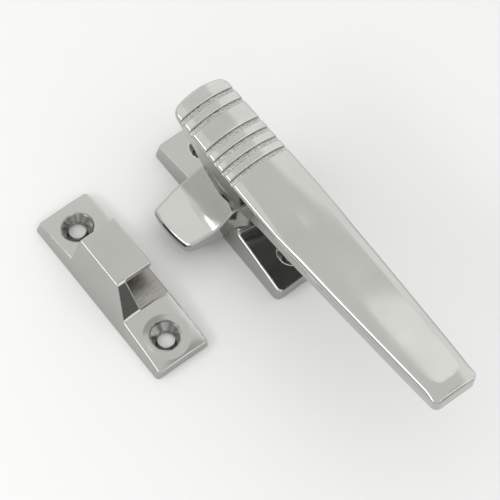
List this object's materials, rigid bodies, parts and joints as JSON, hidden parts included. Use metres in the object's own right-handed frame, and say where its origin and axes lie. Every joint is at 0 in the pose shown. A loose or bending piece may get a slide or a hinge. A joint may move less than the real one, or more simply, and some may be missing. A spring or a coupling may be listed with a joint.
{
  "type": "casement window fastener",
  "caption": "Casement window fastener: grooved lever handle with a wedge nose, turning on a screwed base plate, and the hook keeper plate it locks into.",
  "frame": {"origin": "middle of the footprint of the whole set as laid out, on the plane of the backs of both plates", "axes": "+Z away from the window frame, +Y from the tail of the lever to its grooved head, the nose points to -X"},
  "size_m": [0.0648, 0.1218, 0.0392],
  "materials": {
    "polished_casting": "cast, then polished bright and nickel plated",
    "rivet_steel": "plain turned steel",
    "spring_steel": "tempered spring steel, darker than the rivet",
    "washer_bronze": "phosphor bronze, satin"
  },
  "bodies": {
    "base": {"base_plate": "polished_casting", "spring_washer": "spring_steel"},
    "lever": {"lever": "polished_casting", "pivot_rivet": "rivet_steel", "thrust_washer": "washer_bronze", "back_washer": "rivet_steel"},
    "keeper": {"keeper": "polished_casting"}
  },
  "joints": [
    {"name": "lever_turn", "type": "hinge", "parent": "base", "child": "lever", "pos_m": [0.0204, 0.0311, 0.01], "axis": [0, 0, 1], "range_deg": [0, 90]},
    {"name": "keeper_slide", "type": "slide", "parent": "base", "child": "keeper", "axis": [1, 0, 0], "range_m": [0, 0.0135]}
  ]
}
